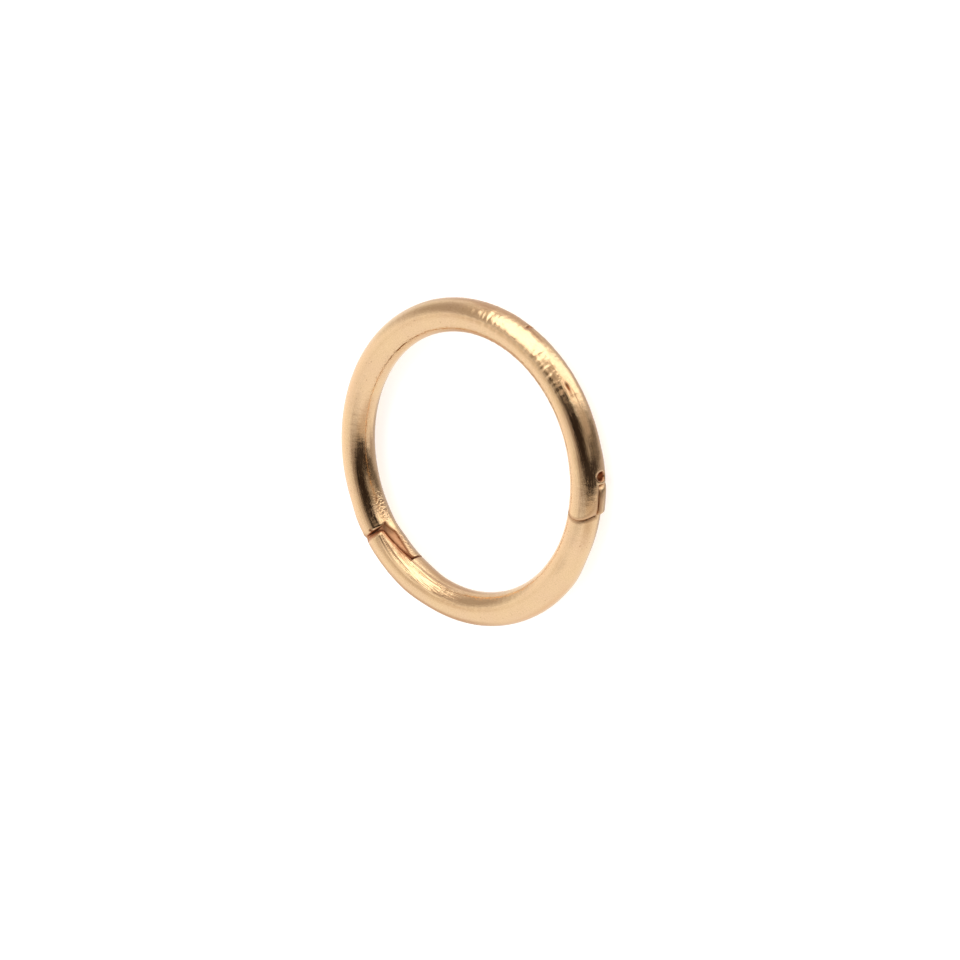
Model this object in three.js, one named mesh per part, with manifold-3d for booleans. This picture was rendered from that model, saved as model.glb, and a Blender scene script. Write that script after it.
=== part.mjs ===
// A hinged hoop earring of round wire, lying on its side. Millimetres, +Z up.
//
// The hoop's axis is the Z axis and its wire touches z = 0 all the way round. Three pieces make it:
// the fixed hoop, the segment that swings open to let the post of the ear through, and the pin it
// turns on. Angles are degrees about +Z from +X, anticlockwise seen from above. Going round that way,
// the segment runs from the clasp to the pin, and the fixed hoop from the pin on round to the clasp.
//
// Both ends are half laps. At the hinge the hoop keeps the upper layer, a round cheek, and the segment
// keeps the lower one, a round tab a little thicker than the wire. At the clasp the segment's tip lies
// over the hoop's tongue, and stands back from the tongue's inner edge.
import * as THREE from "three";
import { mergeVertices } from "three/addons/utils/BufferGeometryUtils.js";
import Module from "manifold-3d";

// Wire and ring.
const WIRE_DIAMETER = 1.3;
const INSIDE_DIAMETER = 10;
const WIRE_SIDES = 24;
const RING_STEPS = 96;

// Clasp: where each end face stands, and how high the lap's faces lie above the wire's middle.
const SHOULDER_DEG = 104.7;
const TIP_END_DEG = 105.5;
const TONGUE_END_DEG = 124.7;
const TONGUE_END_GAP = 0.055;
const TONGUE_ROOT_RISE = 0.395;
const TONGUE_END_RISE = 0.172;
const TONGUE_CORNER = 0.08;
const CLASP_GAP = 0.035;
const TIP_CORNER = 0.18;
const TIP_WALL_R = 5.13;
const TIP_WALL_SHIFT = 0.637;
const TIP_WALL_DEG = 24;

// Hinge: the pin stands across the lap. The cheek fits a round seat in the segment, and the tab turns in
// a round seat in the hoop, which ends in two blunt horns. A small pocket in the hoop's rim clears the
// tab's outer corner.
const PIN_DEG = 243.2;
const PIN_OUTWARD = 0.03;
const PIN_DIAMETER = 0.4;
const PIN_LOW = 0.03;
const PIN_HIGH = 1.08;
const PIN_FIXED_GAP = 0.012;
const PIN_TURNING_GAP = 0.03;
const LAP_RISE = 0.1;
const LAP_GAP = 0.035;
const CHEEK_R = 0.68;
const CHEEK_SEAT_R = 0.72;
const TAB_R = 0.8;
const TAB_SEAT_R = 0.84;
const TAB_SECTION_R = 0.69;
const TAB_BLEND = 0.45;
const HORN_DEG = 249.6;
const POCKET_DEG = 252.4;
const POCKET_ALONG = 0.17;
const POCKET_DEPTH = 0.32;
const POCKET_HEIGHT = 0.2;
const POCKET_DROP = 0.04;

// Sizes that follow from the ones above.
const WIRE_R = WIRE_DIAMETER / 2;
const RING_R = INSIDE_DIAMETER / 2 + WIRE_R;
const PIN_RING_R = RING_R + PIN_OUTWARD;
const LAP_TOP = WIRE_R + LAP_RISE + LAP_GAP / 2;
const LAP_BOTTOM = WIRE_R + LAP_RISE - LAP_GAP / 2;

// Cutters reach this far past the wire, and a piece's parts overlap this much where they join.
const BEYOND = 2;
const JOIN_DEG = 5;
const ARC_STEPS = 24;

const wasm = await Module();
wasm.setup();

const rad = THREE.MathUtils.degToRad;

function solidOf(geometry) {
  geometry.deleteAttribute("normal");
  geometry.deleteAttribute("uv");
  const merged = mergeVertices(geometry, 1e-5);
  const mesh = new wasm.Mesh({
    numProp: 3,
    vertProperties: merged.attributes.position.array,
    triVerts: new Uint32Array(merged.index.array),
  });
  return new wasm.Manifold(mesh);
}

function geometryOf(solid) {
  const mesh = solid.getMesh();
  const geometry = new THREE.BufferGeometry();
  geometry.setAttribute("position", new THREE.BufferAttribute(mesh.vertProperties, 3));
  geometry.setIndex(new THREE.BufferAttribute(mesh.triVerts, 1));
  const shaded = geometry.toNonIndexed();
  shaded.computeVertexNormals();
  return shaded;
}

function extrude(shape, depth) {
  return new THREE.ExtrudeGeometry(shape, { depth, bevelEnabled: false, curveSegments: ARC_STEPS });
}

// A whole ring of round section, resting on z = 0.
function ring(ringRadius, sectionRadius) {
  const torus = new THREE.TorusGeometry(ringRadius, sectionRadius, WIRE_SIDES, RING_STEPS);
  return solidOf(torus.translate(0, 0, sectionRadius));
}

// The stretch of ring between two angles, as a cutter that is taller and wider than the wire.
function stretch(fromDeg, toDeg) {
  const shape = new THREE.Shape();
  shape.absarc(0, 0, RING_R + BEYOND, rad(fromDeg), rad(toDeg), false);
  shape.absarc(0, 0, RING_R - BEYOND, rad(toDeg), rad(fromDeg), true);
  return solidOf(extrude(shape, WIRE_DIAMETER + 2 * BEYOND).translate(0, 0, -BEYOND));
}

// A side view cut through the wire. Its x runs along the ring at the given angle, the way angles grow,
// and its y is the height above the wire's middle.
function sideCut(shape, deg) {
  const outward = new THREE.Vector3(Math.cos(rad(deg)), Math.sin(rad(deg)), 0);
  const along = new THREE.Vector3(-outward.y, outward.x, 0);
  const frame = new THREE.Matrix4().makeBasis(along, new THREE.Vector3(0, 0, 1), outward);
  frame.setPosition(outward.multiplyScalar(RING_R - BEYOND).setZ(WIRE_R));
  return solidOf(extrude(shape, 2 * BEYOND).applyMatrix4(frame));
}

// A plan view cut between two heights. Its x points outward from the pin, and its y along the ring.
function pinCut(shape, low, high) {
  const geometry = extrude(shape, high - low).translate(PIN_RING_R, 0, low);
  return solidOf(geometry.rotateZ(rad(PIN_DEG)));
}

function disc(radius) {
  return new THREE.Shape().absarc(0, 0, radius, 0, 2 * Math.PI, false);
}

// The clasp's lap face, as a height above the wire's middle. It falls evenly from the shoulder to the
// tongue's end, at x = 0, and goes on falling past it.
function claspRise(x) {
  const length = RING_R * Math.sin(rad(TONGUE_END_DEG - SHOULDER_DEG));
  return TONGUE_END_RISE - (TONGUE_ROOT_RISE - TONGUE_END_RISE) * x / length;
}

// The hoop's tongue ends at x = 0 with its upper corner rounded, and thickens towards its root.
function tongueCut() {
  const top = TONGUE_END_RISE - TONGUE_CORNER;
  const shape = new THREE.Shape();
  shape.moveTo(-BEYOND, -BEYOND);
  shape.lineTo(0, -BEYOND);
  shape.lineTo(0, top);
  shape.absarc(-TONGUE_CORNER, top, TONGUE_CORNER, 0, Math.PI / 2, false);
  shape.lineTo(-BEYOND, claspRise(-BEYOND));
  return sideCut(shape, TONGUE_END_DEG);
}

// The segment's tip starts at x = 0 with its upper corner rounded over.
function tipEndCut() {
  const shape = new THREE.Shape();
  shape.moveTo(0, -BEYOND);
  shape.lineTo(2 * BEYOND, -BEYOND);
  shape.lineTo(2 * BEYOND, BEYOND);
  shape.lineTo(TIP_CORNER, BEYOND);
  shape.lineTo(TIP_CORNER, WIRE_R);
  shape.absarc(TIP_CORNER, WIRE_R - TIP_CORNER, TIP_CORNER, Math.PI / 2, Math.PI, false);
  return sideCut(shape, TIP_END_DEG);
}

// The tip lies above the tongue's lap face, a small even gap away, and thickens away from its end.
function tipFaceCut() {
  const shape = new THREE.Shape();
  shape.moveTo(-2 * BEYOND, CLASP_GAP + claspRise(-2 * BEYOND));
  shape.lineTo(BEYOND / 2, CLASP_GAP + claspRise(BEYOND / 2));
  shape.lineTo(BEYOND / 2, BEYOND);
  shape.lineTo(-2 * BEYOND, BEYOND);
  return sideCut(shape, TONGUE_END_DEG);
}

// The tab's outline: half a disc round the pin, on a short straight neck.
function tabOutline() {
  const shape = new THREE.Shape();
  shape.moveTo(-TAB_R, -TAB_BLEND);
  shape.lineTo(TAB_R, -TAB_BLEND);
  shape.lineTo(TAB_R, 0);
  shape.absarc(0, 0, TAB_R, 0, Math.PI, false);
  return shape;
}

// The tip's inner wall is an arc whose middle lies off the hoop's axis, so that it nears the wire's
// inner side towards the tip's root.
function tipWall() {
  const cylinder = extrude(disc(TIP_WALL_R), WIRE_DIAMETER).translate(TIP_WALL_SHIFT, 0, WIRE_R);
  return solidOf(cylinder.rotateZ(rad(TIP_WALL_DEG)));
}

function rimPocket() {
  const hollow = new THREE.SphereGeometry(1, ARC_STEPS, ARC_STEPS / 2);
  hollow.scale(POCKET_DEPTH, POCKET_ALONG, POCKET_HEIGHT);
  hollow.translate(RING_R + WIRE_R, 0, WIRE_R - POCKET_DROP);
  return solidOf(hollow.rotateZ(rad(POCKET_DEG)));
}

function hoopSolid(wire) {
  const upper = WIRE_DIAMETER + BEYOND;
  const tabSeat = pinCut(disc(TAB_SEAT_R), -BEYOND, LAP_TOP);
  const uncut = wire.intersect(stretch(HORN_DEG - 360, SHOULDER_DEG));
  const main = uncut.subtract(tabSeat).subtract(rimPocket());
  const atClasp = stretch(SHOULDER_DEG - JOIN_DEG, TONGUE_END_DEG + JOIN_DEG);
  const tongue = wire.intersect(atClasp).intersect(tongueCut());
  const neck = stretch(PIN_DEG - 360, HORN_DEG - 360 + JOIN_DEG);
  const cheek = pinCut(disc(CHEEK_R), LAP_TOP, upper).add(neck);
  const lapped = wire.intersect(cheek).intersect(pinCut(disc(2 * BEYOND), LAP_TOP, upper));
  const pinHole = pinCut(disc(PIN_DIAMETER / 2 + PIN_FIXED_GAP), 0, PIN_HIGH + PIN_FIXED_GAP);
  return main.add(tongue).add(lapped).subtract(pinHole);
}

function segmentSolid(wire) {
  const startDeg = TONGUE_END_DEG + THREE.MathUtils.radToDeg(TONGUE_END_GAP / RING_R);
  const upper = WIRE_DIAMETER + BEYOND;
  const cheekSeat = pinCut(disc(CHEEK_SEAT_R), LAP_BOTTOM, upper);
  const main = wire.intersect(stretch(startDeg, PIN_DEG)).subtract(cheekSeat);
  const atClasp = stretch(TIP_END_DEG - JOIN_DEG, TONGUE_END_DEG + JOIN_DEG);
  const tip = wire.intersect(atClasp).intersect(tipEndCut()).intersect(tipFaceCut()).subtract(tipWall());
  const thick = ring(RING_R + TAB_SECTION_R - WIRE_R, TAB_SECTION_R);
  const tab = thick.intersect(pinCut(tabOutline(), 0, LAP_BOTTOM));
  const pinHole = pinCut(disc(PIN_DIAMETER / 2 + PIN_TURNING_GAP), -BEYOND, upper);
  return main.add(tip).add(tab).subtract(pinHole);
}

function pinSolid() {
  return pinCut(disc(PIN_DIAMETER / 2), PIN_LOW, PIN_HIGH);
}

const roseGold = new THREE.MeshStandardMaterial({ color: 0xf0c492, roughness: 0.22, metalness: 1 });
const segmentGold = new THREE.MeshStandardMaterial({ color: 0xf0c492, roughness: 0.22, metalness: 1 });
const pinGold = new THREE.MeshStandardMaterial({ color: 0xe6b784, roughness: 0.3, metalness: 1 });

function named(name, solid, material) {
  const mesh = new THREE.Mesh(geometryOf(solid), material);
  mesh.name = name;
  return mesh;
}

const wire = ring(RING_R, WIRE_R);
const earring = new THREE.Group();
earring.add(named("hoop_body", hoopSolid(wire), roseGold));
earring.add(named("hinged_segment", segmentSolid(wire), segmentGold));
earring.add(named("hinge_pin", pinSolid(), pinGold));

export default earring;
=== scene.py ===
# %% [markdown]
# # A hinged hoop earring in rose gold
# The earring is a ring of round wire. About a third of it is a segment that swings out on a pin, so that
# it can pass through the ear. This lesson builds the fine surface of its three pieces over a plain solid
# model, gives them a worn, hand-polished metal, and lights them the way small jewellery is lit.
#
# The solid model is loaded first. It is the frame that every piece fits, so the sizes that both share are
# read from it and not typed again.

# %% Load the solid model
import math

import bmesh
import bpy
import numpy as np
from mathutils import Matrix, Vector


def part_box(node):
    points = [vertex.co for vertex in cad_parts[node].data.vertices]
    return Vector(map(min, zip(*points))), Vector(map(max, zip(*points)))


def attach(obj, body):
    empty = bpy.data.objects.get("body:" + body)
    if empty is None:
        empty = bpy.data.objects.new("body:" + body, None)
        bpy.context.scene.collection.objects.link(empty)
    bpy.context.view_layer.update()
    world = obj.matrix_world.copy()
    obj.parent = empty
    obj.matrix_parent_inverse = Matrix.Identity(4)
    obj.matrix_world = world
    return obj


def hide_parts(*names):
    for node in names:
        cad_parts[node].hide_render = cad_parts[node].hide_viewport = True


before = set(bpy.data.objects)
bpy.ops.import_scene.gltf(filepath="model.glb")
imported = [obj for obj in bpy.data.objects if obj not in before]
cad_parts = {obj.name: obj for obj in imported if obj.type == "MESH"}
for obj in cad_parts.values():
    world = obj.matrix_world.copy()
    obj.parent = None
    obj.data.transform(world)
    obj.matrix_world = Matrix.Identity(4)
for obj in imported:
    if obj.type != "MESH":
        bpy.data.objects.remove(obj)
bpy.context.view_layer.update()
print("solid model:", sorted(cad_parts))

# %% [markdown]
# A hoop is described by very few numbers: the wire's radius, the radius of its middle line, and where the
# pin stands. The shapes below are worked out in millimetres, because the gaps are hundredths of one, and
# turned into metres at the very end. Places along the ring are angles in degrees, anticlockwise from +X.

# %% Sizes read from the solid model, in millimetres
MM = 0.001
hoop_low, hoop_high = (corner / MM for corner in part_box("hoop_body"))
pin_low, pin_high = (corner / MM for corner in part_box("hinge_pin"))

WIRE_R = (hoop_high.z - hoop_low.z) / 2
RING_R = hoop_high.x - WIRE_R
PIN_X = (pin_low.x + pin_high.x) / 2
PIN_Y = (pin_low.y + pin_high.y) / 2
PIN_R = (pin_high.x - pin_low.x) / 2
PIN_DEG = math.degrees(math.atan2(PIN_Y, PIN_X)) % 360
PIN_RING_R = math.hypot(PIN_X, PIN_Y)
print(f"wire {2 * WIRE_R:.2f} mm, ring {2 * RING_R:.2f} mm at its middle, pin at {PIN_DEG:.1f} degrees")

# %% [markdown]
# Both joints of the ring are half laps, like a carpenter's. At the clasp the segment's tip lies over a
# tongue on the hoop. At the hinge a round cheek on the hoop lies over a round tab on the segment, and the
# pin goes through both. The solid model was cut with the same sizes, apart from its gaps: its flat facets
# need a few hundredths of a millimetre between them, while these curved faces may lie closer, as they do on
# a well-made ring.

# %% Sizes of the clasp and the hinge
SHOULDER_DEG = 104.7
SHOULDER_CAP_DEG = 105.15
TIP_END_DEG = 105.5
TONGUE_END_DEG = 124.7
TONGUE_END_GAP = 0.055
TONGUE_ROOT_RISE = 0.395
TONGUE_END_RISE = 0.172
CLASP_GAP = 0.035
TIP_WALL_END = 0.44
TIP_WALL_ROOT = 0.61

LAP_TOP = WIRE_R + 0.103
LAP_BOTTOM = WIRE_R + 0.097
CHEEK_R = 0.693
CHEEK_SEAT_R = 0.700
TAB_R = 0.8
TAB_SEAT_R = 0.815
TAB_SECTION_R = 0.69
TAB_BLEND = 0.45
HORN_DEG = 249.6
POCKET_DEG = 252.4
POCKET_DROP = 0.04
POCKET_SIZE = (0.32, 0.17, 0.2)
PIN_FIXED_GAP = 0.012
PIN_TURNING_GAP = 0.03
print(f"tongue {TONGUE_END_DEG - SHOULDER_DEG:.1f} degrees long, cheek {2 * CHEEK_R:.2f} mm across")

# %% [markdown]
# ## Describing a polished solid by its distance
# Polished metal shows every facet, and a real edge is never sharp: the polishing mop rounds it. Boolean
# cuts leave slivers that neither a bevel nor smooth shading can hide. So each piece is written as a
# distance: a function that is negative inside the metal, zero on its skin and positive outside. Joining two
# shapes is then the smaller distance, cutting is the larger, and a soft version of "the larger" rounds the
# edge by a known amount.


# %% Distances to the simple shapes
def soft_max(a, b, round_by):
    """The larger of two distances, with the edge between them rounded."""
    near = np.maximum(round_by - np.abs(a - b), 0) / round_by
    return np.maximum(a, b) + near * near * round_by / 4


def around(p, middle_deg):
    """Each point's distance from the hoop's axis, and its angle in degrees within 180 of the middle one."""
    deg = np.degrees(np.arctan2(p[..., 1], p[..., 0]))
    return np.hypot(p[..., 0], p[..., 1]), middle_deg + (deg - middle_deg + 180) % 360 - 180


def past(rho, deg, cut_deg):
    """How far a point lies past a radial cut, the way that angles grow."""
    return rho * np.sin(np.radians(np.clip(deg - cut_deg, -90, 90)))


def wire(p, rho, outer=0.0, inner=0.0):
    """The round wire. Its outer and its inner side may stand proud, by amounts that differ along it."""
    return np.hypot(rho - RING_R - (outer - inner) / 2, p[..., 2] - WIRE_R) - WIRE_R - (outer + inner) / 2


def pin_distance(p):
    return np.hypot(p[..., 0] - PIN_X, p[..., 1] - PIN_Y)


def ramp(deg, start, end):
    """A smooth climb from 0 at one angle to 1 at another."""
    t = np.clip((deg - start) / (end - start), 0, 1)
    return t * t * (3 - 2 * t)


def hollow(rho, deg, height, place, size):
    """A rounded hollow. Its place is a radius, an angle and a height, and so are its half sizes."""
    away = (rho - place[0], past(rho, deg, place[1]), height - place[2])
    reach = np.sqrt(sum((part / half) ** 2 for part, half in zip(away, size)))
    return (reach - 1) * min(size)


in_the_middle = np.array([RING_R, 0, WIRE_R])
print(f"distance in the middle of the wire: {wire(in_the_middle, RING_R):.2f} mm, so it is inside")

# %% [markdown]
# The hand that finished this ring left it a little uneven. The wire is proud on both sides of the clasp and
# at the hinge's cheek, and the segment was filed thin where it nears the hinge. A slit and a small pit are
# left from wear. These are written into the distances too, so the reflections bend where the real ones do.
# Each uneven stretch grows between two angles.

# %% Distances to the two gold pieces
EDGE = 0.04
LIP = 0.06
SOFT_LIP = 0.09
TAB_LIP = 0.12
SHOULDER_ROUND = 0.10
TIP_ROUND = 0.32
POCKET_LIP = 0.10
HINGE_GROOVE = 0.006
GROOVE_WIDTH = 0.12
TIP_CORNER_ROUND = 0.26
TIP_WALL_ROUND = 0.08
TONGUE_END_ROUND = 0.09
TIP_OVERLAP_DEG = 8
FLANK_DEG = (104.7, 110, 125)
FLANK_EDGE = (25, 12, 19)
FLANK_RISE = 0.01
CLASP_PROUD = 0.045
TONGUE_PROUD_DEG = (105, 113)
TIP_PROUD_DEG = (128, 142)
SHOULDER_PROUD = 0.05
SHOULDER_PROUD_DEG = (90, 99)
SHOULDER_DENT = 0.05
DENT_BEHIND_DEG = 0.6
DENT_LENGTH_DEG = 0.8
HINGE_PROUD = 0.03
HINGE_PROUD_DEG = (96, 104)
FILED_THIN = 0.09
FILED_DEG = (208, 222)
SLIT = (RING_R + WIRE_R * 0.98, -48.6, WIRE_R - 0.12)
SLIT_SIZE = (0.08, 0.07, 0.19)
PIT = (RING_R + WIRE_R * 0.90, -75.0, WIRE_R * 1.5)
PIT_SIZE = (0.05, 0.14, 0.05)


def lap_face(rho, deg, height):
    """How far a point lies above the tongue's face, which falls evenly from the shoulder to its end."""
    length = RING_R * math.sin(math.radians(TONGUE_END_DEG - SHOULDER_DEG))
    climb = (TONGUE_ROOT_RISE - TONGUE_END_RISE) / length
    return height - WIRE_R - TONGUE_END_RISE + climb * past(rho, deg, TONGUE_END_DEG)


def tip_wall(rho, deg):
    """How far a point lies inside the wall that the segment's tip turns towards the hoop's middle."""
    share = (deg - TIP_END_DEG) / (TONGUE_END_DEG - TIP_END_DEG)
    return RING_R - TIP_WALL_END - (TIP_WALL_ROOT - TIP_WALL_END) * share - rho


def flank(rho, deg, height):
    """How far a point lies above the tongue's filed flank, from the foot of the tip's wall to the skin."""
    edge = np.radians(np.interp(deg, FLANK_DEG, FLANK_EDGE))
    low = (-WIRE_R * np.cos(edge), WIRE_R * np.sin(edge))
    foot = rho + tip_wall(rho, deg) - RING_R
    across_flank = np.maximum(foot - low[0], FLANK_RISE)
    up_flank = np.maximum(height - WIRE_R - lap_face(rho, deg, height) - low[1], FLANK_RISE)
    from_edge = (rho - RING_R - low[0], height - WIRE_R - low[1])
    return (from_edge[1] * across_flank - from_edge[0] * up_flank) / np.hypot(across_flank, up_flank)


def pocket(rho, deg, height):
    return hollow(rho, deg, height, (RING_R + WIRE_R, POCKET_DEG - 360, WIRE_R - POCKET_DROP), POCKET_SIZE)


def wear(rho, deg, height):
    return np.minimum(hollow(rho, deg, height, SLIT, SLIT_SIZE), hollow(rho, deg, height, PIT, PIT_SIZE))


def hoop_skin(p):
    """The hoop's wire before its ends are cut."""
    rho, deg = around(p, 0)
    proud = SHOULDER_PROUD * ramp(deg, *SHOULDER_PROUD_DEG) + HINGE_PROUD * ramp(-deg, *HINGE_PROUD_DEG)
    dent = SHOULDER_DENT * np.exp(-((deg - SHOULDER_DEG - DENT_BEHIND_DEG) / DENT_LENGTH_DEG) ** 2)
    return wire(p, rho, proud - dent, CLASP_PROUD * ramp(deg, *TONGUE_PROUD_DEG))


def segment_skin(p):
    """The segment's wire before its ends are cut."""
    rho, deg = around(p, 180)
    proud = CLASP_PROUD * (1 - ramp(deg, *TIP_PROUD_DEG))
    thin = FILED_THIN * ramp(deg, *FILED_DEG)
    return wire(p, rho, proud - thin, proud)


def hoop_distance(p):
    rho, deg = around(p, 0)
    z = p[..., 2]
    skin = hoop_skin(p)
    top = soft_max(lap_face(rho, deg, z), flank(rho, deg, z), EDGE)
    tongue = soft_max(past(rho, deg, TONGUE_END_DEG), top, TONGUE_END_ROUND)

    seat = np.maximum(TAB_SEAT_R - pin_distance(p), -past(rho, deg, HORN_DEG - 360))
    lower_end = np.maximum(seat, -past(rho, deg, PIN_DEG - 360))
    cheek = np.minimum(-past(rho, deg, PIN_DEG - 360), pin_distance(p) - CHEEK_R)
    upper_end = soft_max(LAP_TOP - z, cheek, EDGE)
    hinge_end = np.minimum(lower_end, upper_end)

    main = soft_max(skin, past(rho, deg, SHOULDER_CAP_DEG), SHOULDER_ROUND)
    body = np.minimum(main, soft_max(skin, tongue, LIP))
    body = soft_max(body, hinge_end, SOFT_LIP)
    body = soft_max(soft_max(body, -pocket(rho, deg, z), POCKET_LIP), -wear(rho, deg, z), LIP)
    hole = np.maximum(pin_distance(p) - PIN_R - PIN_FIXED_GAP, z - pin_high.z - PIN_FIXED_GAP)
    return np.maximum(body, -hole)


def segment_distance(p):
    rho, deg = around(p, 180)
    z = p[..., 2]
    skin = segment_skin(p)
    end, wall = -past(rho, deg, TIP_END_DEG), tip_wall(rho, deg)
    at_end = np.clip(0.5 + (end - wall) / TIP_CORNER_ROUND, 0, 1)
    rounding = TIP_WALL_ROUND + (TIP_ROUND - TIP_WALL_ROUND) * at_end
    tip = soft_max(skin, soft_max(end, wall, TIP_CORNER_ROUND), rounding)
    tip = soft_max(tip, CLASP_GAP - lap_face(rho, deg, z), EDGE)
    tip = np.maximum(tip, past(rho, deg, TONGUE_END_DEG + TIP_OVERLAP_DEG))

    start_deg = TONGUE_END_DEG + math.degrees(TONGUE_END_GAP / RING_R)
    near_seat = 1 - ramp(pin_distance(p), CHEEK_SEAT_R + EDGE, CHEEK_SEAT_R + GROOVE_WIDTH)
    groove = HINGE_GROOVE * near_seat * ramp(z, LAP_BOTTOM - GROOVE_WIDTH, LAP_BOTTOM)
    main = soft_max(skin + groove, -past(rho, deg, start_deg), EDGE)
    main = np.maximum(main, past(rho, deg, PIN_DEG))
    seat = np.minimum(CHEEK_SEAT_R - pin_distance(p), z - LAP_BOTTOM)
    main = soft_max(main, seat, EDGE)

    along = past(rho, deg, PIN_DEG)
    outline = np.where(along > 0, pin_distance(p) - TAB_R, np.abs(rho - PIN_RING_R) - TAB_R)
    outline = soft_max(outline, -TAB_BLEND - along, LIP)
    thick = np.hypot(rho - RING_R - (TAB_SECTION_R - WIRE_R), z - TAB_SECTION_R) - TAB_SECTION_R
    thick = thick + HINGE_GROOVE * ramp(z, LAP_BOTTOM - GROOVE_WIDTH, LAP_BOTTOM - EDGE)
    tab = soft_max(soft_max(thick, outline, TAB_LIP), z - LAP_BOTTOM, EDGE)

    body = np.minimum(np.minimum(main, tip), tab)
    return soft_max(body, PIN_R + PIN_TURNING_GAP - pin_distance(p), EDGE / 2)


print(f"on the segment's side the hoop is {hoop_distance(-in_the_middle * (1, 1, -1)):.1f} mm away")

# %% [markdown]
# ## From a distance to a mesh
# The distance is sampled on a grid that is bent round the hoop, so that its lines run along and across the
# wire. Every grid cell that the skin passes through gets one point, and every grid edge that crosses the
# skin gets one four-sided face round it. This is called a surface net. The points are then slid along the
# slope of the distance until they lie exactly on the skin.


# %% Surface net
SLOPE_STEP = 1e-4
SLIDES = 6
LONGEST_SLIDE = 0.02
GENTLEST_SLOPE = 0.5


def surface_net(distance, degrees, across, heights):
    """The skin of a distance as (points, quads). The grid is given as angles, offsets across and heights."""
    angle = np.radians(degrees)[:, None, None]
    rho = RING_R + across[None, :, None]
    shape = (len(degrees), len(across), len(heights))
    grid = np.stack([np.broadcast_to(rho * np.cos(angle), shape),
                     np.broadcast_to(rho * np.sin(angle), shape),
                     np.broadcast_to(heights[None, None, :], shape)], -1)
    value = distance(grid)
    inside = value < 0
    cells = tuple(n - 1 for n in shape)
    total = np.zeros(cells + (3,))
    count = np.zeros(cells, int)
    crossings = []
    for axis in range(3):
        low = [slice(None)] * 3
        high = [slice(None)] * 3
        low[axis], high[axis] = slice(0, -1), slice(1, None)
        low, high = tuple(low), tuple(high)
        edge = np.argwhere(inside[low] != inside[high])
        step = np.eye(3, dtype=int)[axis]
        first = value[tuple(edge.T)]
        second = value[tuple((edge + step).T)]
        point = edge + (first / (first - second))[:, None] * step
        b, c = (np.eye(3, dtype=int)[(axis + k) % 3] for k in (1, 2))
        for back in (0 * b, b, b + c, c):
            cell = edge - back
            np.add.at(total, tuple(cell.T), point)
            np.add.at(count, tuple(cell.T), 1)
        crossings.append((edge, b, c, inside[tuple(edge.T)]))
    used = count > 0
    number = np.full(cells, -1)
    number[used] = np.arange(used.sum())
    index = total[used] / count[used][:, None]
    theta = np.radians(np.interp(index[:, 0], np.arange(shape[0]), degrees))
    radius = RING_R + np.interp(index[:, 1], np.arange(shape[1]), across)
    points = np.stack([radius * np.cos(theta), radius * np.sin(theta),
                       np.interp(index[:, 2], np.arange(shape[2]), heights)], -1)
    quads = []
    for edge, b, c, outward in crossings:
        ring = np.stack([number[tuple((edge - back).T)] for back in (0 * b, b, b + c, c)], -1)
        quads.append(np.where(outward[:, None], ring, ring[:, ::-1]))
    return points, np.concatenate(quads)


def slope(distance, p):
    """The direction in which a distance grows, by central differences."""
    parts = [distance(p + SLOPE_STEP * axis) - distance(p - SLOPE_STEP * axis) for axis in np.eye(3)]
    return np.stack(parts, -1) / (2 * SLOPE_STEP)


def settle(distance, points):
    """Slides points along the slope of the distance until they lie on the skin."""
    for _ in range(SLIDES):
        grad = slope(distance, points)
        steepness = np.maximum((grad * grad).sum(-1), GENTLEST_SLOPE ** 2)
        step = distance(points) / steepness
        points = points - np.clip(step, -LONGEST_SLIDE, LONGEST_SLIDE)[:, None] * grad
    return points


def trial_ball(p):
    return np.linalg.norm(p - in_the_middle, axis=-1) - WIRE_R


coarse = np.arange(-0.8, 0.9, 0.2)
net = surface_net(trial_ball, np.arange(-9, 10, 2), coarse, coarse + WIRE_R)
print(f"a ball on a coarse grid: {len(net[0])} points and {len(net[1])} faces, two fewer, so it is closed")

# %% [markdown]
# The grid is fine where the laps and the dents are, and coarser between them. Each point also keeps two
# numbers. One, called seam, says how close the other piece or a hollow comes to it. The finish paints shade
# there: it makes the place darker and more matte, standing in for the shade that falls into the gaps and
# hollows. The clasp's painted shade is narrow and dark, and under the tip's nose it fades more slowly, as a
# painted shadow. The hinge's is an even, paler band of painted shade, where a real rounded groove would be
# shaded. A thin painted dark line also follows the crease at the tongue's inner edge. The other number,
# called cut, is 1 where the wire was cut into. The polishing mop never reaches those faces, so they stay raw
# and matte, and they are painted red: partly the colour of raw metal, partly the reddish shade deep in the
# recesses.


# %% Mesh both pieces
def spaced(stops):
    """Angles from a list of (degrees, step) pairs: each stretch runs to the next stop in such steps."""
    pieces = []
    for (start, step), (end, _) in zip(stops, stops[1:]):
        pieces.append(np.linspace(start, end, max(2, round((end - start) / step)), endpoint=False))
    return np.concatenate(pieces + [[stops[-1][0]]])


FINE = 0.30
PLAIN = 0.42
GRID_MM = 0.036
ACROSS_THE_WIRE = (-0.77, 0.90)
UP_THE_WIRE = (-0.051, 1.40)
HOOP_STOPS = [(-126, FINE), (-100, PLAIN), (98, FINE), (128, FINE)]
SEGMENT_STOPS = [(103, FINE), (129, PLAIN), (226, FINE), (254, FINE)]
CLASP_SEAM_REACH = 0.045
NOSE_SEAM_REACH = 0.15
NOSE_DEG = (TIP_END_DEG + 1, TIP_END_DEG + 4)
HINGE_SEAM_REACH = (0.09, 0.16)
HINGE_BAND_SHADE = 0.38
TONGUE_EDGE_SHADE = 0.042
HOLLOW_SEAM_REACH = 0.07
HOLLOW_SHADE = 0.46
CUT_DEPTH = (0.010, 0.040)
NEAR_PIN = (0.85, 1.0)
across = np.arange(*ACROSS_THE_WIRE, GRID_MM)
heights = np.arange(*UP_THE_WIRE, GRID_MM)


def at_hinge(p):
    return p[..., 1] < 0


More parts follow.
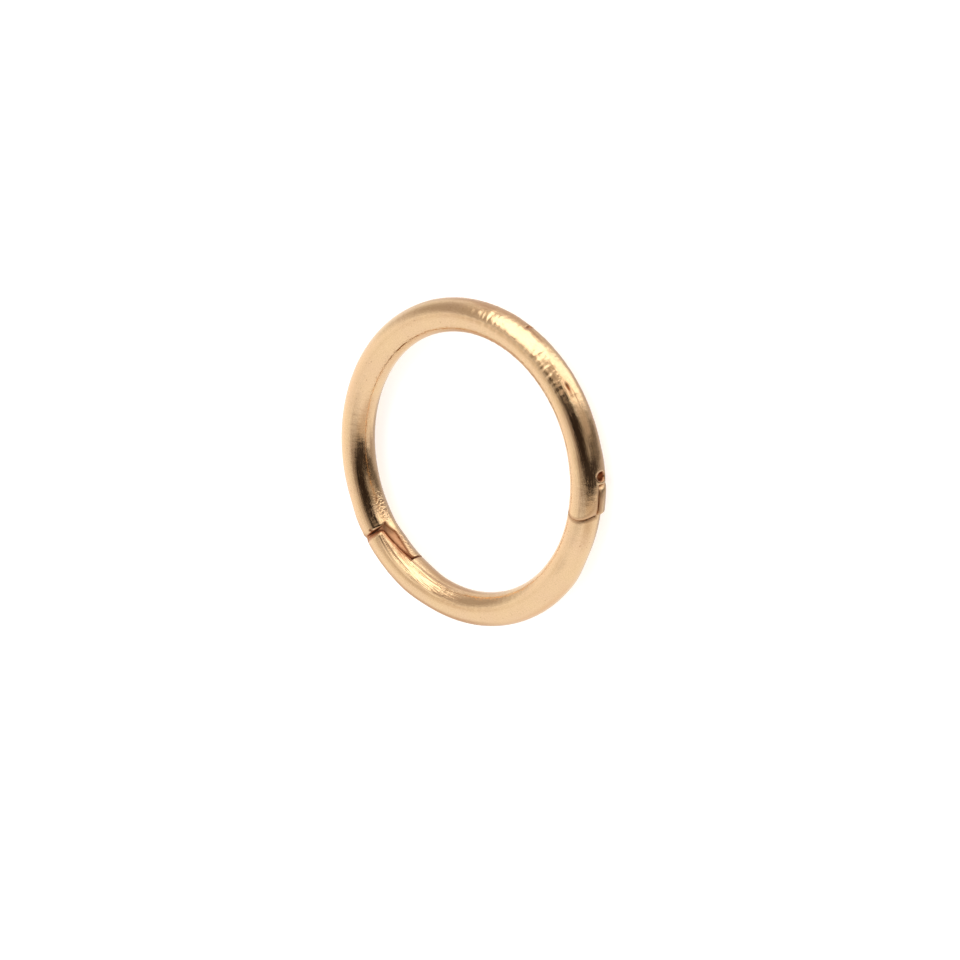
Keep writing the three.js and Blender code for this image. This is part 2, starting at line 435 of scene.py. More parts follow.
def joint_seam(p, other_piece, clasp_reach):
    # Painted shade: at the clasp it fades with the distance to the other piece, and at the hinge it is an
    # even band where a groove would be shaded.
    gap = np.maximum(other_piece(p), 0)
    hinge_band_shade = HINGE_BAND_SHADE * (1 - ramp(gap, *HINGE_SEAM_REACH))
    return np.where(at_hinge(p), hinge_band_shade, np.exp(-gap / clasp_reach))


def hoop_seam(p):
    """The painted shade at the seam with the segment and in the hollows, and a painted dark line along the
    crease at the tongue's inner edge.
    """
    rho, deg = around(p, 0)
    z = p[..., 2]
    # Painted shade in the pocket, the slit and the pit, darkest at each hollow.
    hollows = np.minimum(pocket(rho, deg, z), wear(rho, deg, z))
    hollows = HOLLOW_SHADE * np.exp(-np.maximum(hollows, 0) / HOLLOW_SEAM_REACH)
    # A thin painted dark line of shade along the crease at the tongue's inner edge.
    off_edge = np.hypot(flank(rho, deg, z), hoop_skin(p)) / TONGUE_EDGE_SHADE
    edge_line_shade = np.exp(-off_edge ** 2) * (deg > SHOULDER_DEG - 1) * (deg < TONGUE_END_DEG)
    return np.maximum(np.maximum(joint_seam(p, segment_distance, CLASP_SEAM_REACH), hollows), edge_line_shade)


def segment_seam(p):
    rho, deg = around(p, 180)
    # Painted shadow under the tip's nose: the shade reaches further there.
    under_nose = 1 - ramp(deg, *NOSE_DEG)
    reach = CLASP_SEAM_REACH + (NOSE_SEAM_REACH - CLASP_SEAM_REACH) * under_nose
    return joint_seam(p, hoop_distance, reach)


def cut_face(p, skin):
    """1 on the clasp's raw faces and in the hollows, 0 elsewhere. The hinge's faces are rubbed bright."""
    near_pin = 1 - ramp(pin_distance(p), *NEAR_PIN)
    return ramp(-skin(p), *CUT_DEPTH) * (1 - near_pin)


def gold_mesh(name, distance, skin, seam, degrees):
    points, quads = surface_net(distance, degrees, across, heights)
    points = settle(distance, points)
    mesh = bpy.data.meshes.new(name)
    mesh.from_pydata((points * MM).tolist(), [], quads.tolist())
    mesh.validate()
    mesh.shade_smooth()
    for label, value in (("seam", seam(points)), ("cut", cut_face(points, skin))):
        mesh.attributes.new(label, "FLOAT", "POINT").data.foreach_set("value", value.astype(np.float32))
    made = bpy.data.objects.new(name, mesh)
    bpy.context.scene.collection.objects.link(made)
    bm = bmesh.new()
    bm.from_mesh(mesh)
    loose = sum(not e.is_manifold for e in bm.edges)
    volume = bm.calc_volume() / MM ** 3
    bm.free()
    print(f"{name}: {len(mesh.polygons)} faces, {loose} open edges, {volume:.2f} mm3")
    return made


hoop = gold_mesh("polished_hoop", hoop_distance, hoop_skin, hoop_seam, spaced(HOOP_STOPS))
segment = gold_mesh("polished_segment", segment_distance, segment_skin, segment_seam, spaced(SEGMENT_STOPS))

# %% [markdown]
# ## The pin
# The pin is a short rod with a small chamfer at each end, filed flush under the ring. Its profile is a few
# points, and spinning the profile about the pin's own axis gives the rod.

# %% Turn the pin
PIN_CHAMFER = 0.03
PIN_SIDES = 64


def pin_profile():
    low, high = pin_low.z, pin_high.z
    return [(0, low), (PIN_R - PIN_CHAMFER, low), (PIN_R, low + PIN_CHAMFER), (PIN_R, high - PIN_CHAMFER),
            (PIN_R - PIN_CHAMFER, high), (0, high)]


def turned_pin(name):
    bm = bmesh.new()
    profile = [bm.verts.new(((PIN_X + r) * MM, PIN_Y * MM, z * MM)) for r, z in pin_profile()]
    edges = [bm.edges.new(pair) for pair in zip(profile, profile[1:])]
    bmesh.ops.spin(bm, geom=profile + edges, cent=(PIN_X * MM, PIN_Y * MM, 0), axis=(0, 0, 1),
                   angle=2 * math.pi, steps=PIN_SIDES)
    bmesh.ops.remove_doubles(bm, verts=bm.verts, dist=1e-7)
    bmesh.ops.recalc_face_normals(bm, faces=bm.faces)
    mesh = bpy.data.meshes.new(name)
    bm.to_mesh(mesh)
    bm.free()
    made = bpy.data.objects.new(name, mesh)
    bpy.context.scene.collection.objects.link(made)
    print(f"{name}: {len(mesh.polygons)} faces")
    return made


pin = turned_pin("turned_pin")

# %% [markdown]
# ## Small helpers for node trees
# Node trees are long to write by hand. These short functions feed a socket, place a node, and place a piece
# of arithmetic or of vector arithmetic. The last two give back the socket that carries the answer on. They
# work in shader trees and in geometry trees alike, because both share the same maths nodes.


# %% Helpers that place nodes
def feed(tree, socket, value):
    """Links a value that another node gives, or sets a plain one."""
    if isinstance(value, bpy.types.NodeSocket):
        tree.links.new(value, socket)
    else:
        socket.default_value = value


def place(tree, kind, sockets=None, **settings):
    made = tree.nodes.new(kind)
    for name, value in settings.items():
        setattr(made, name, value)
    for name, value in (sockets or {}).items():
        feed(tree, made.inputs[name], value)
    return made


def calc(tree, operation, *values):
    return place(tree, "ShaderNodeMath", dict(enumerate(values)), operation=operation).outputs[0]


def vector(tree, operation, *values):
    made = place(tree, "ShaderNodeVectorMath", operation=operation)
    for index, value in enumerate(values):
        feed(tree, made.inputs["Scale" if operation == "SCALE" and index == 1 else index], value)
    return made.outputs["Value"] if operation in ("LENGTH", "DOT_PRODUCT") else made.outputs["Vector"]


def open_tree(name, kind, takes, gives):
    """A node group with named sockets. Each is given as a name, a type and a value to start from."""
    tree = bpy.data.node_groups.new(name, kind)
    for in_out, sockets in (("INPUT", takes), ("OUTPUT", gives)):
        for label, socket_type, start in sockets:
            socket = tree.interface.new_socket(label, in_out=in_out, socket_type="NodeSocket" + socket_type)
            if start is not None:
                socket.default_value = start
    return tree, place(tree, "NodeGroupInput").outputs, place(tree, "NodeGroupOutput").inputs


print("helpers for nodes:", [helper.__name__ for helper in (feed, place, calc, vector, open_tree)])

# %% [markdown]
# ## Ripples left by drawing and rolling the wire
# Wire is pulled through a plate and bent round a rod. Both leave faint ripples that run across it, a sixth
# of a millimetre apart and far thinner than a hair. They are deepest at one worn place, where they break
# the edge of the highlight into teeth. They repeat along a path, so a Geometry Nodes tree makes them: it
# finds each point's place on the ring's middle line, looks up a noise that is squeezed along the ring, and
# moves the point in or out. A second, longer wave does the same to the whole wire. Points on the lap faces
# don't lie on the wire's skin, so a mask leaves them where they were cut.


# %% Geometry Nodes tree for the ripples
RIPPLE_SQUEEZE = 0.35
WORN_EDGE = (1.25, 0.75)


def ripple_tree():
    tree, given, result = open_tree(
        "Ripples along a ring", "GeometryNodeTree",
        [("Geometry", "Geometry", None), ("Ring Radius", "Float", 0.005), ("Wire Radius", "Float", 0.0005),
         ("Ripple Length", "Float", 0.0003), ("Ripple Depth", "Float", 1e-6), ("Wave Length", "Float", 0.002),
         ("Wave Depth", "Float", 1e-6), ("Worn Place", "Vector", (0, 0, 0)), ("Worn Reach", "Float", 0.002),
         ("Calm Share", "Float", 0.3), ("Skin", "Float", 1e-4), ("Seed", "Float", 0.0),
         ("Material", "Material", None)],
        [("Geometry", "Geometry", None)])
    spot = place(tree, "GeometryNodeInputPosition").outputs[0]
    flat = vector(tree, "MULTIPLY", spot, (1, 1, 0))
    round_the_ring = vector(tree, "SCALE", vector(tree, "NORMALIZE", flat), given["Ring Radius"])
    lift = place(tree, "ShaderNodeCombineXYZ", {"Z": given["Wire Radius"]}).outputs[0]
    middle = vector(tree, "ADD", round_the_ring, lift)
    from_middle = vector(tree, "SUBTRACT", spot, middle)
    outward = vector(tree, "NORMALIZE", from_middle)
    above_skin = calc(tree, "SUBTRACT", vector(tree, "LENGTH", from_middle), given["Wire Radius"])
    off_skin = calc(tree, "DIVIDE", calc(tree, "ABSOLUTE", above_skin), given["Skin"])
    on_skin = calc(tree, "SUBTRACT", 1.0, calc(tree, "MINIMUM", off_skin, 1.0))

    away = vector(tree, "LENGTH", vector(tree, "SUBTRACT", middle, given["Worn Place"]))
    share = place(tree, "ShaderNodeMapRange",
                  {"Value": calc(tree, "DIVIDE", away, given["Worn Reach"]), "From Min": WORN_EDGE[0],
                   "From Max": WORN_EDGE[1], "To Min": given["Calm Share"]},
                  interpolation_type="SMOOTHSTEP").outputs[0]
    ripple_depth = calc(tree, "MULTIPLY", given["Ripple Depth"], share)

    squeezed = vector(tree, "ADD", middle, vector(tree, "SCALE", from_middle, RIPPLE_SQUEEZE))
    heights_found = []
    for coordinates, length, depth in ((squeezed, "Ripple Length", ripple_depth),
                                       (spot, "Wave Length", given["Wave Depth"])):
        scaled = vector(tree, "SCALE", coordinates, calc(tree, "DIVIDE", 1.0, given[length]))
        sockets = {"Vector": scaled, "W": given["Seed"], "Scale": 1.0, "Detail": 1.0}
        noise = place(tree, "ShaderNodeTexNoise", sockets, noise_dimensions="4D")
        swing = calc(tree, "MULTIPLY", calc(tree, "SUBTRACT", noise.outputs[0], 0.5), 2.0)
        heights_found.append(calc(tree, "MULTIPLY", swing, depth))
    height = calc(tree, "MULTIPLY", calc(tree, "ADD", *heights_found), on_skin)
    moved = place(tree, "GeometryNodeSetPosition", {"Geometry": given["Geometry"],
                                                    "Offset": vector(tree, "SCALE", outward, height)})
    real = place(tree, "GeometryNodeRealizeInstances", {"Geometry": moved.outputs[0]})
    dressed = place(tree, "GeometryNodeSetMaterial",
                    {"Geometry": real.outputs[0], "Material": given["Material"]})
    tree.links.new(dressed.outputs[0], result["Geometry"])
    return tree


ripples = ripple_tree()
print("ripple tree:", len(ripples.nodes), "nodes")

# %% [markdown]
# ## Where a point lies on a ring
# A straight board has a grain direction that plain coordinates can follow. A ring hasn't: its grain turns
# with it. This group works out, for any point, its angle along the ring, its angle round the wire (0 on the
# inner side, 90 on top, 180 on the outer side), and two vectors for textures. One is squeezed along the
# ring, so that a noise drawn with it runs across the wire. The other is stretched along the ring, so that a
# noise drawn with it runs lengthwise. Neither has a seam.


# %% Shader group: ring coordinates
CROSSWISE_SQUEEZE = 0.12
LENGTHWISE_SQUEEZE = 0.08


def ring_coordinates_tree():
    tree, given, result = open_tree(
        "Ring coordinates", "ShaderNodeTree",
        [("Ring Radius", "Float", 5.0), ("Wire Radius", "Float", 0.5)],
        [("Angles", "Vector", None), ("Crosswise", "Vector", None), ("Lengthwise", "Vector", None),
         ("Spot", "Vector", None)])
    spot = vector(tree, "SCALE", place(tree, "ShaderNodeTexCoord").outputs["Object"], 1 / MM)
    parts = place(tree, "ShaderNodeSeparateXYZ", {0: spot}).outputs
    flat = vector(tree, "MULTIPLY", spot, (1, 1, 0))
    offset = calc(tree, "SUBTRACT", vector(tree, "LENGTH", flat), given["Ring Radius"])
    height = calc(tree, "SUBTRACT", parts["Z"], given["Wire Radius"])
    along = calc(tree, "DEGREES", calc(tree, "ARCTAN2", parts["Y"], parts["X"]))
    around_wire = calc(tree, "DEGREES", calc(tree, "ARCTAN2", height, calc(tree, "MULTIPLY", offset, -1.0)))
    tree.links.new(spot, result["Spot"])
    angles = place(tree, "ShaderNodeCombineXYZ", {"X": along, "Y": around_wire}).outputs[0]
    tree.links.new(angles, result["Angles"])

    lift = place(tree, "ShaderNodeCombineXYZ", {"Z": given["Wire Radius"]}).outputs[0]
    round_the_ring = vector(tree, "SCALE", vector(tree, "NORMALIZE", flat), given["Ring Radius"])
    middle = vector(tree, "ADD", round_the_ring, lift)
    squeezed = vector(tree, "SCALE", vector(tree, "SUBTRACT", spot, middle), CROSSWISE_SQUEEZE)
    tree.links.new(vector(tree, "ADD", middle, squeezed), result["Crosswise"])
    section = place(tree, "ShaderNodeCombineXYZ", {"X": offset, "Z": height}).outputs[0]
    squeezed = vector(tree, "SCALE", middle, LENGTHWISE_SQUEEZE)
    tree.links.new(vector(tree, "ADD", section, squeezed), result["Lengthwise"])
    return tree


ring_coordinates = ring_coordinates_tree()
print("ring coordinates:", len(ring_coordinates.nodes), "nodes")

# %% [markdown]
# ## A soft patch
# Three jobs in this lesson need the same thing: a patch with rounded corners and a soft edge, on a pair of
# angles. On the metal it holds tool marks or a stain. In the sky of the light tent it is a window or a dark
# cloth. So it is one group, and each use gives its own middle, size and softness, all in degrees. Lean slants
# its upright sides, by so many degrees sideways for each degree of height. The rounded corners come from
# adding fourth powers instead of squares: squares would give an oval, and higher powers a sharper box.


# %% Shader group: soft patch
def soft_patch_tree():
    tree, given, result = open_tree(
        "Soft patch", "ShaderNodeTree",
        [("Angles", "Vector", None), ("Middle", "Vector", None), ("Size", "Vector", (10, 10, 0)),
         ("Softness", "Float", 5.0), ("Lean", "Float", 0.0)],
        [("Mask", "Float", None)])
    away = vector(tree, "SUBTRACT", given["Angles"], given["Middle"])
    away = vector(tree, "WRAP", away, (180, 180, 180), (-180, -180, -180))
    second = place(tree, "ShaderNodeSeparateXYZ", {0: away}).outputs["Y"]
    slant = calc(tree, "MULTIPLY", second, given["Lean"])
    away = vector(tree, "SUBTRACT", away, place(tree, "ShaderNodeCombineXYZ", {"X": slant}).outputs[0])
    share = vector(tree, "DIVIDE", away, vector(tree, "SCALE", given["Size"], 0.5))
    square = vector(tree, "MULTIPLY", share, share)
    reach = calc(tree, "SQRT", calc(tree, "SQRT", vector(tree, "DOT_PRODUCT", square, square)))
    sides = place(tree, "ShaderNodeSeparateXYZ", {0: given["Size"]}).outputs
    soft = calc(tree, "DIVIDE", given["Softness"], calc(tree, "MINIMUM", sides["X"], sides["Y"]))
    outer, inner = calc(tree, "ADD", 1.0, soft), calc(tree, "SUBTRACT", 1.0, soft)
    mask = place(tree, "ShaderNodeMapRange", {"Value": reach, "From Min": outer, "From Max": inner},
                 interpolation_type="SMOOTHSTEP")
    tree.links.new(mask.outputs[0], result["Mask"])
    return tree


soft_patch = soft_patch_tree()
print("soft patch:", len(soft_patch.nodes), "nodes")


def use_group(tree, group, sockets):
    return place(tree, "ShaderNodeGroup", sockets, node_tree=group).outputs


def patch(tree, angles, middle, size, softness, lean=0.0):
    return use_group(tree, soft_patch, {"Angles": angles, "Middle": (*middle, 0), "Size": (*size, 0),
                                        "Softness": softness, "Lean": lean})["Mask"]


# %% [markdown]
# ## The finish of hand-polished gold
# Up close the polish is not perfect. There are hairlines across the wire from the drawing plate, longer
# scratches along it from wear, cloudy places where the polish is thinner, a fine grain that is felt in the
# colour too, and a sprinkling of tiny dark specks. The group gives a height in millimetres for a Bump node,
# and masks for the colour and roughness.


# %% Shader group: hand-polished finish
SCRATCH_RIDGE = (0.0, 0.06)
SPECK_PEAKS = (0.68, 0.78)
SPECK_CLOUDS = (0.45, 0.6)
EVEN_SPREAD = (0.3, 0.7)


def finish_tree():
    tree, given, result = open_tree(
        "Hand-polished finish", "ShaderNodeTree",
        [("Crosswise", "Vector", None), ("Lengthwise", "Vector", None), ("Hairline Width", "Float", 0.07),
         ("Hairline Depth", "Float", 0.0006), ("Scratch Width", "Float", 0.05),
         ("Scratch Depth", "Float", 0.0011), ("Grain Size", "Float", 0.05), ("Grain Depth", "Float", 0.0016),
         ("Speck Size", "Float", 0.12), ("Cloud Size", "Float", 1.2)],
        [("Height", "Float", None), ("Clouds", "Float", None), ("Grain", "Float", None),
         ("Specks", "Float", None)])

    def noise(coordinates, size, detail):
        scaled = vector(tree, "SCALE", coordinates, calc(tree, "DIVIDE", 1.0, size))
        sockets = {"Vector": scaled, "Scale": 1.0, "Detail": detail}
        return place(tree, "ShaderNodeTexNoise", sockets).outputs[0]

    def band(value, ends):
        sockets = {"Value": value, "From Min": ends[0], "From Max": ends[1]}
        return place(tree, "ShaderNodeMapRange", sockets).outputs[0]

    spot = vector(tree, "SCALE", place(tree, "ShaderNodeTexCoord").outputs["Object"], 1 / MM)
    drawn = noise(given["Crosswise"], given["Hairline Width"], 3.0)
    hairlines = calc(tree, "MULTIPLY", drawn, given["Hairline Depth"])
    rubbed = noise(given["Lengthwise"], given["Scratch Width"], 2.0)
    ridge = calc(tree, "ABSOLUTE", calc(tree, "SUBTRACT", rubbed, 0.5))
    scratches = calc(tree, "MULTIPLY", band(ridge, SCRATCH_RIDGE), given["Scratch Depth"])
    clouds = noise(spot, given["Cloud Size"], 2.0)
    peaks = band(noise(spot, given["Speck Size"], 1.0), SPECK_PEAKS)
    specks = calc(tree, "MULTIPLY", peaks, band(clouds, SPECK_CLOUDS))
    grain = noise(spot, given["Grain Size"], 1.0)
    lines = calc(tree, "ADD", hairlines, scratches)
    tree.links.new(calc(tree, "MULTIPLY_ADD", grain, given["Grain Depth"], lines), result["Height"])
    tree.links.new(band(grain, EVEN_SPREAD), result["Grain"])
    tree.links.new(band(clouds, EVEN_SPREAD), result["Clouds"])
    tree.links.new(specks, result["Specks"])
    return tree


finish = finish_tree()
print("finish:", len(finish.nodes), "nodes")

# %% [markdown]
# ## Three golds
# All three pieces are the same rose gold, an alloy with copper, but each was worked a little differently. The
# material joins the groups above: the clouds drift between a yellower and a pinker gold, the seam value
# stored on the mesh paints shade into the gaps and hollows as a deep copper brown, and the cut value leaves
# the cut faces matte and paints them red, partly their raw colour and partly the reddish shade deep in the
# recesses. The same brown, at other strengths, is also real tarnish in the specks and stains. Two places show
# the tool. Inside the hoop, next to the clasp, the metal is pecked, and the segment has long drawn strokes
# beside its tip. Both are a noise inside soft patches, deep enough to bend the reflections. Their lowest
# places are painted darker: partly real dirt, and partly painted dark streaks and flecks that stand in for
# the dark reflections and shade in the marks.


# %% Build the gold materials
GOLD_YELLOW = (0.808, 0.572, 0.328)
GOLD_PINK = (0.786, 0.542, 0.336)
GRAIN_DARK = (0.70, 0.46, 0.255)
GRAIN_SHARE = 0.5
RAW_AND_RECESS_RED = (0.66, 0.35, 0.19)
RAW_ROUGH = 0.26
SEAM_ROUGH = 0.6
DIRT_ROUGH = 0.2
CLOUD_ROUGH = 0.06
# Painted shade: the seam value darkens the gaps and hollows towards the tarnish brown, which also colours the
# real specks and stains.
SEAM_SHADE_STRENGTH = 0.88
SPECK_DIRT = 0.35
STAIN_DIRT = 0.4
CUT_EDGE_SHADE = 1.0
TARNISH_AND_PAINTED_SHADE = (0.30, 0.105, 0.040)
PECK_SIZE = 0.10
PECK_DEPTH = 0.030
DRAWN_WIDTH = 0.10
DRAWN_DEPTH = 0.060
# The strokes' low places are painted darker: partly real dirt, partly painted dark streaks that stand in for
# dark reflections.
STROKE_DARK_BELOW = 0.48
STROKE_DIRT_AND_STREAKS = 4.0


def blend_color(tree, share, first, second):
    made = place(tree, "ShaderNodeMix", data_type="RGBA", clamp_factor=True)
    feed(tree, made.inputs["Factor"], share)
    for index, color in ((6, first), (7, second)):
        feed(tree, made.inputs[index], (*color, 1) if isinstance(color, tuple) else color)
    return made.outputs[2]


def gold(name, roughness, hairline_depth, pecked=(), drawn=(), stains=()):
    """Rose gold. Pecked, drawn and stained places are (along, around, length, width, softness) in degrees."""
    material = bpy.data.materials.new(name)
    material.use_nodes = True
    tree = material.node_tree
    metal = tree.nodes["Principled BSDF"]
    ring = use_group(tree, ring_coordinates, {"Ring Radius": RING_R, "Wire Radius": WIRE_R})
    polish = use_group(tree, finish, {"Crosswise": ring["Crosswise"], "Lengthwise": ring["Lengthwise"],
                                      "Hairline Depth": hairline_depth})
    height = polish["Height"]
    marks_dirt_and_streaks = 0.0
    for places, grain, size, depth in ((pecked, "Spot", PECK_SIZE, PECK_DEPTH),
                                       (drawn, "Lengthwise", DRAWN_WIDTH, DRAWN_DEPTH)):
        strokes = place(tree, "ShaderNodeTexNoise", {"Vector": ring[grain], "Scale": 1 / size, "Detail": 2.0})
        for along, around_wire, length, width, softness in places:
            mask = patch(tree, ring["Angles"], (along, around_wire), (length, width), softness)
            marks = calc(tree, "MULTIPLY", strokes.outputs[0], mask)
            height = calc(tree, "ADD", height, calc(tree, "MULTIPLY", marks, depth))
            # Partly real dirt, partly painted dark streaks and flecks standing in for the dark reflections
            # and shade in the marks.
            low = calc(tree, "MAXIMUM", calc(tree, "SUBTRACT", STROKE_DARK_BELOW, strokes.outputs[0]), 0.0)
            dirt_and_painted_dark = calc(tree, "MULTIPLY", low, calc(tree, "MULTIPLY", mask, STROKE_DIRT_AND_STREAKS))
            marks_dirt_and_streaks = calc(tree, "ADD", marks_dirt_and_streaks, dirt_and_painted_dark)
    bump = place(tree, "ShaderNodeBump", {"Height": height, "Distance": MM})
    tree.links.new(bump.outputs[0], metal.inputs["Normal"])

    # Painted shade: the seam value darkens the gaps and hollows; the specks and the stains added to it are
    # real tarnish.
    seam = place(tree, "ShaderNodeAttribute", attribute_name="seam").outputs["Fac"]
    specks = calc(tree, "MULTIPLY", polish["Specks"], SPECK_DIRT)
    dirt_and_painted_dark = calc(tree, "ADD", calc(tree, "MULTIPLY", seam, SEAM_SHADE_STRENGTH), specks)
    dirt_and_painted_dark = calc(tree, "ADD", dirt_and_painted_dark, marks_dirt_and_streaks)
    cut = place(tree, "ShaderNodeAttribute", attribute_name="cut").outputs["Fac"]
    # Painted shade: a dark line along the crease where the cut faces meet the polished skin.
    cut_edge_line_shade = calc(tree, "MULTIPLY", cut, calc(tree, "SUBTRACT", 1.0, cut))
    dirt_and_painted_dark = calc(tree, "MULTIPLY_ADD", cut_edge_line_shade, CUT_EDGE_SHADE, dirt_and_painted_dark)
    for along, around_wire, length, width, softness in stains:
        stain = patch(tree, ring["Angles"], (along, around_wire), (length, width), softness)
        dirt_and_painted_dark = calc(tree, "ADD", dirt_and_painted_dark, calc(tree, "MULTIPLY", stain, STAIN_DIRT))
    clean = blend_color(tree, polish["Clouds"], GOLD_YELLOW, GOLD_PINK)
    clean = blend_color(tree, calc(tree, "MULTIPLY", polish["Grain"], GRAIN_SHARE), clean, GRAIN_DARK)
    # The cut faces are painted red: partly the raw metal's colour, partly the reddish shade deep in the clasp
    # and the hollows.
    clean = blend_color(tree, cut, clean, RAW_AND_RECESS_RED)
    color = blend_color(tree, calc(tree, "MINIMUM", dirt_and_painted_dark, 1.0), clean, TARNISH_AND_PAINTED_SHADE)
    tree.links.new(color, metal.inputs["Base Color"])
    uneven = calc(tree, "MULTIPLY", calc(tree, "SUBTRACT", polish["Clouds"], 0.5), CLOUD_ROUGH)
    rough = calc(tree, "ADD", calc(tree, "ADD", uneven, roughness), calc(tree, "MULTIPLY", dirt_and_painted_dark, DIRT_ROUGH))
    rough = calc(tree, "MULTIPLY_ADD", cut, RAW_ROUGH, rough)
    seam_on_skin = calc(tree, "MULTIPLY", seam, calc(tree, "SUBTRACT", 1.0, cut))
    rough = calc(tree, "MULTIPLY_ADD", seam_on_skin, SEAM_ROUGH, rough)
    tree.links.new(rough, metal.inputs["Roughness"])
    metal.inputs["Metallic"].default_value = 1
    return material


HOOP_PECKED = [(97, 4, 13, 40, 9), (115.5, -4, 12, 26, 9)]
HOOP_STAINS = [(-53, 174, 6, 12, 4), (-31, 158, 10, 14, 8), (-76, 151, 5, 7, 3), (-79, 162, 5, 4, 3)]
SEGMENT_DRAWN = [(131, 48, 46, 46, 12)]
hoop_gold = gold("hoop rose gold", 0.10, 0.0007, pecked=HOOP_PECKED, stains=HOOP_STAINS)
segment_gold = gold("segment rose gold", 0.10, 0.0006, drawn=SEGMENT_DRAWN)
pin_gold = gold("pin rose gold", 0.28, 0.0012)
print("gold materials:", [m.name for m in (hoop_gold, segment_gold, pin_gold)])

# %% [markdown]
# ## Dress the solid model
# The ripple tree now runs on both gold pieces. Its inputs are set by the identifier of each socket. The
# result is turned into a plain mesh and the modifier is taken off, so what is left is an ordinary object
# that can ride on its body.

# %% Run the ripples and hand the pieces over
WORN = math.radians(-53)
WORN_PLACE = Vector((RING_R * math.cos(WORN), RING_R * math.sin(WORN), WIRE_R)) * MM
RIPPLE = {"Ring Radius": RING_R * MM, "Wire Radius": WIRE_R * MM, "Ripple Length": 0.00016,
          "Ripple Depth": 1.4e-5, "Wave Length": 0.0028, "Wave Depth": 1.3e-5, "Worn Place": WORN_PLACE,
          "Worn Reach": 0.0026, "Calm Share": 0.22, "Skin": 1.2e-4}


def rippled(made, material, seed):
    modifier = made.modifiers.new("ripples", "NODES")
    modifier.node_group = ripples
    sockets = {item.name: item.identifier for item in ripples.interface.items_tree if item.in_out == "INPUT"}
    for name, value in {**RIPPLE, "Seed": seed, "Material": material}.items():
        modifier[sockets[name]] = value
    evaluated = made.evaluated_get(bpy.context.evaluated_depsgraph_get())
    mesh = bpy.data.meshes.new_from_object(evaluated)
    made.modifiers.clear()
    made.data = mesh
    mesh.shade_smooth()
    print(f"{made.name}: rippled, {len(mesh.vertices)} points, {[m.name for m in mesh.materials]}")
    return made


rippled(hoop, hoop_gold, 1.0)
rippled(segment, segment_gold, 5.0)
pin.data.materials.append(pin_gold)
for made, node, body, slot in ((hoop, "hoop_body", "hoop", "hoop_gold"),
                               (segment, "hinged_segment", "segment", "segment_gold"),
                               (pin, "hinge_pin", "hoop", "pin_gold")):
    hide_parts(node)
    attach(made, body)

# %% [markdown]
# ## Camera
# The ring lies on its side and the camera looks down at it from the front, turned a little more than a
# quarter round, as a macro lens would be on a tilted head. A long lens far away keeps the ring's outline
# almost free of perspective.

# %% Place the camera
CENTRE = Vector((0, 0, WIRE_R)) * MM
CAMERA_ELEVATION = math.radians(47.62)
CAMERA_ROLL = math.radians(-106.79)
CAMERA_DISTANCE = 179.3 * MM
SIDE_STEP = 0.355 * MM
UP_STEP = -0.662 * MM
SENSOR_MM = 36
LENS_MM = 178.7
NEAREST = 10 * MM

scene = bpy.context.scene
scene.view_settings.view_transform = "Standard"
backward = Vector((0, -math.cos(CAMERA_ELEVATION), math.sin(CAMERA_ELEVATION)))
level = Vector((1, 0, 0))
upright = backward.cross(level)
right = math.cos(CAMERA_ROLL) * level + math.sin(CAMERA_ROLL) * upright
up = math.cos(CAMERA_ROLL) * upright - math.sin(CAMERA_ROLL) * level

camera_data = bpy.data.cameras.new("camera")
camera_data.sensor_width = SENSOR_MM
camera_data.lens = LENS_MM
camera_data.clip_start = NEAREST
camera = bpy.data.objects.new("camera", camera_data)
scene.collection.objects.link(camera)
stand = CENTRE + backward * CAMERA_DISTANCE + right * SIDE_STEP + up * UP_STEP
camera.matrix_world = Matrix.Translation(stand) @ Matrix((right, up, backward)).transposed().to_4x4()
scene.camera = camera
print("camera:", [round(c, 4) for c in camera.location])

# %% [markdown]
# ## Light tent
# A polished ring shows nothing but what stands round it, so the tent is painted with care. It is white
# cloth all round, with a window on the right, small white cards beside it, a dimmer corner behind, an open
# top that looks dark, and black cloth with a dark stand in front. The lower half is painted too, because the
# underside of the wire looks down. Each is a soft patch in the world's sky, by compass angle (0 towards -Y,
# growing towards +X) and height above the floor, and later ones cover earlier ones. Each has its middle, its
# size, its softness and its lean in degrees, and then a colour for its brightness. A slow noise bends the
# angles first: cloth hangs in folds, and straight edges in a reflection look drawn. Rays from the camera
# itself see plain white instead, so the tent shows only in the metal.

